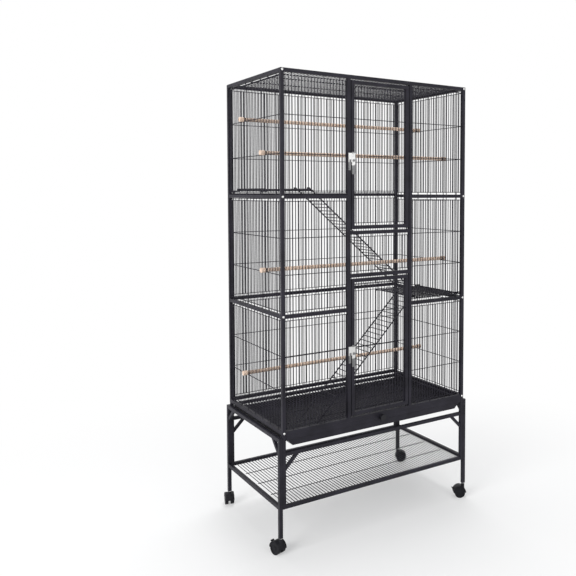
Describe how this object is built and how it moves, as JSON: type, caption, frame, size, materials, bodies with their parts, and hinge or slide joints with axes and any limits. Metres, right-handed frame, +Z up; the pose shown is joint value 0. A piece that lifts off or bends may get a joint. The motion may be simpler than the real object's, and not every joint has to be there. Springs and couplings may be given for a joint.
{
  "type": "parrot cage",
  "caption": "Tall wire parrot cage on a wheeled stand, with latched front doors, wooden perches, wire platforms and ladders, a slide-out grate and tray, and a shelf.",
  "frame": {"origin": "on the floor under the middle of the cage", "axes": "+Z up, -Y towards the front with the doors, +X to the right seen from the front"},
  "size_m": [0.8825, 0.5091, 1.63],
  "materials": {
    "coat": "dark charcoal powder coat with a slight metallic sheen",
    "zinc": "zinc plated",
    "wood": "plain turned hardwood",
    "black_plastic": "fine matte"
  },
  "bodies": {
    "cage": {"front_frame": "coat", "back_frame": "coat", "left_side_rails": "coat", "right_side_rails": "coat", "left_mesh_top": "coat", "left_mesh_middle": "coat", "left_mesh_bottom": "coat", "right_mesh_top": "coat", "right_mesh_middle": "coat", "right_mesh_bottom": "coat", "back_mesh_top": "coat", "back_mesh_middle": "coat", "back_mesh_bottom": "coat", "front_left_mesh_top": "coat", "front_left_mesh_middle": "coat", "front_left_mesh_bottom": "coat", "front_right_mesh_top": "coat", "front_right_mesh_middle": "coat", "front_right_mesh_bottom": "coat", "centre_mesh": "coat", "roof_mesh": "coat", "panel_screws": "zinc", "latch_keepers": "zinc", "top_back_perch": "wood", "top_front_perch": "wood", "middle_perch": "wood", "bottom_perch": "wood", "perch_knobs": "wood", "upper_platform": "coat", "lower_platform": "coat", "upper_ladder": "coat", "lower_ladder": "coat", "drawer_runners": "zinc", "stand_left_frame": "coat", "stand_right_frame": "coat", "stand_front_frame": "coat", "stand_back_frame": "coat", "stand_shelf": "coat", "caster_stems": "zinc"},
    "upper_door": {"upper_door": "coat", "upper_door_mesh": "coat", "upper_latch_plate": "zinc"},
    "lower_door": {"lower_door": "coat", "lower_door_mesh": "coat", "lower_latch_plate": "zinc"},
    "upper_latch": {"upper_latch_lever": "zinc"},
    "lower_latch": {"lower_latch_lever": "zinc"},
    "floor_grate": {"floor_grate": "coat", "grate_knob": "black_plastic"},
    "tray": {"tray": "coat"},
    "front_left_caster": {"front_left_fork": "black_plastic"},
    "front_left_wheels": {"front_left_wheels": "black_plastic"},
    "front_right_caster": {"front_right_fork": "black_plastic"},
    "front_right_wheels": {"front_right_wheels": "black_plastic"},
    "back_left_caster": {"back_left_fork": "black_plastic"},
    "back_left_wheels": {"back_left_wheels": "black_plastic"},
    "back_right_caster": {"back_right_fork": "black_plastic"},
    "back_right_wheels": {"back_right_wheels": "black_plastic"},
    "front_left_brake": {"front_left_brake": "black_plastic"},
    "front_right_brake": {"front_right_brake": "black_plastic"}
  },
  "joints": [
    {"name": "upper_door_hinge", "type": "hinge", "parent": "cage", "child": "upper_door", "pos_m": [0.11915, -0.22125, 1.3], "axis": [0, 0, 1], "range_deg": [0, 105]},
    {"name": "lower_door_hinge", "type": "hinge", "parent": "cage", "child": "lower_door", "pos_m": [0.11915, -0.22125, 0.68], "axis": [0, 0, 1], "range_deg": [0, 105]},
    {"name": "upper_latch_lift", "type": "hinge", "parent": "upper_door", "child": "upper_latch", "pos_m": [-0.11985, -0.2298, 1.3335], "axis": [0, 1, 0], "range_deg": [0, 40]},
    {"name": "lower_latch_lift", "type": "hinge", "parent": "lower_door", "child": "lower_latch", "pos_m": [-0.11985, -0.2298, 0.651], "axis": [0, 1, 0], "range_deg": [0, 40]},
    {"name": "grate_slide", "type": "slide", "parent": "cage", "child": "floor_grate", "axis": [0, -1, 0], "range_m": [0, 0.36]},
    {"name": "tray_slide", "type": "slide", "parent": "cage", "child": "tray", "axis": [0, -1, 0], "range_m": [0, 0.41]},
    {"name": "front_left_swivel", "type": "hinge", "parent": "cage", "child": "front_left_caster", "pos_m": [-0.40675, -0.22125, 0.05], "axis": [0, 0, 1], "continuous": true},
    {"name": "front_left_roll", "type": "hinge", "parent": "front_left_caster", "child": "front_left_wheels", "pos_m": [-0.41037, -0.20773, 0.021], "axis": [-0.9659, -0.2588, 0], "continuous": true},
    {"name": "front_right_swivel", "type": "hinge", "parent": "cage", "child": "front_right_caster", "pos_m": [0.40675, -0.22125, 0.05], "axis": [0, 0, 1], "continuous": true},
    {"name": "front_right_roll", "type": "hinge", "parent": "front_right_caster", "child": "front_right_wheels", "pos_m": [0.39463, -0.21425, 0.021], "axis": [-0.5, -0.866, 0], "continuous": true},
    {"name": "back_left_swivel", "type": "hinge", "parent": "cage", "child": "back_left_caster", "pos_m": [-0.40675, 0.22125, 0.05], "axis": [0, 0, 1], "continuous": true},
    {"name": "back_left_roll", "type": "hinge", "parent": "back_left_caster", "child": "back_left_wheels", "pos_m": [-0.40313, 0.23477, 0.021], "axis": [-0.9659, 0.2588, 0], "continuous": true},
    {"name": "back_right_swivel", "type": "hinge", "parent": "cage", "child": "back_right_caster", "pos_m": [0.40675, 0.22125, 0.05], "axis": [0, 0, 1], "continuous": true},
    {"name": "back_right_roll", "type": "hinge", "parent": "back_right_caster", "child": "back_right_wheels", "pos_m": [0.41849, 0.21363, 0.021], "axis": [0.5446, 0.8387, 0], "continuous": true},
    {"name": "front_left_brake_press", "type": "hinge", "parent": "front_left_caster", "child": "front_left_brake", "pos_m": [-0.41579, -0.18751, 0.03213], "axis": [-0.9659, -0.2588, 0], "range_deg": [0, 18]},
    {"name": "front_right_brake_press", "type": "hinge", "parent": "front_right_caster", "child": "front_right_brake", "pos_m": [0.3765, -0.20379, 0.03213], "axis": [-0.5, -0.866, 0], "range_deg": [0, 18]}
  ]
}
